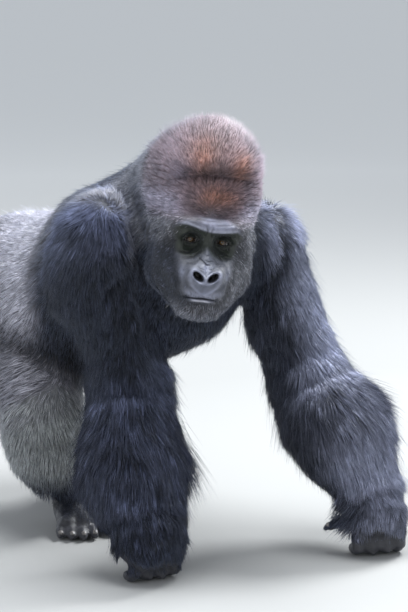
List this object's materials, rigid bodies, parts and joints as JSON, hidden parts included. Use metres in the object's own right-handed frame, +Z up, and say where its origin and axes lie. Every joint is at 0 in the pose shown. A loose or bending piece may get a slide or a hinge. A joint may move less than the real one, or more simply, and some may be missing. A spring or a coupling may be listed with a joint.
{
  "type": "gorilla",
  "caption": "Life-size still model of a silverback western lowland gorilla walking on its knuckles, head turned to its right.",
  "frame": {"origin": "on the floor, under the middle of the whole animal's bounding box", "axes": "+Z up, -Y the way the animal walks, so +Y points to its rump; +X is its left side"},
  "size_m": [0.7844, 1.199, 1.0337],
  "materials": {
    "coat": "long black hair with a blue-grey sheen",
    "saddle": "silver-grey hair of the back, flanks and thighs",
    "crown": "short erect chestnut-brown hair, grey on the cheeks",
    "skin": "bare dark grey-black wrinkled skin",
    "eye": "wet, glossy, dark amber-brown",
    "nail": "worn grey nail"
  },
  "bodies": {
    "root": {"head": "crown", "neck": "coat", "chest": "coat", "belly": "saddle", "rump": "saddle", "eye_right": "eye", "eye_left": "eye", "ear_right": "skin", "ear_left": "skin", "upper_arm_right": "coat", "upper_arm_left": "coat", "forearm_right": "coat", "forearm_left": "coat", "shank_right": "coat", "shank_left": "coat", "thigh_right": "saddle", "thigh_left": "saddle", "hand_right": "skin", "hand_left": "skin", "thumb_right": "skin", "thumb_left": "skin", "foot_right": "skin", "foot_left": "skin", "big_toe_right": "skin", "big_toe_left": "skin", "nail_thumb_right": "nail", "nail_thumb_left": "nail", "nail_toe_right_1": "nail", "nail_toe_right_2": "nail", "nail_toe_right_3": "nail", "nail_toe_right_4": "nail", "nail_toe_right_5": "nail", "nail_toe_left_1": "nail", "nail_toe_left_2": "nail", "nail_toe_left_3": "nail", "nail_toe_left_4": "nail", "nail_toe_left_5": "nail"}
  },
  "joints": []
}
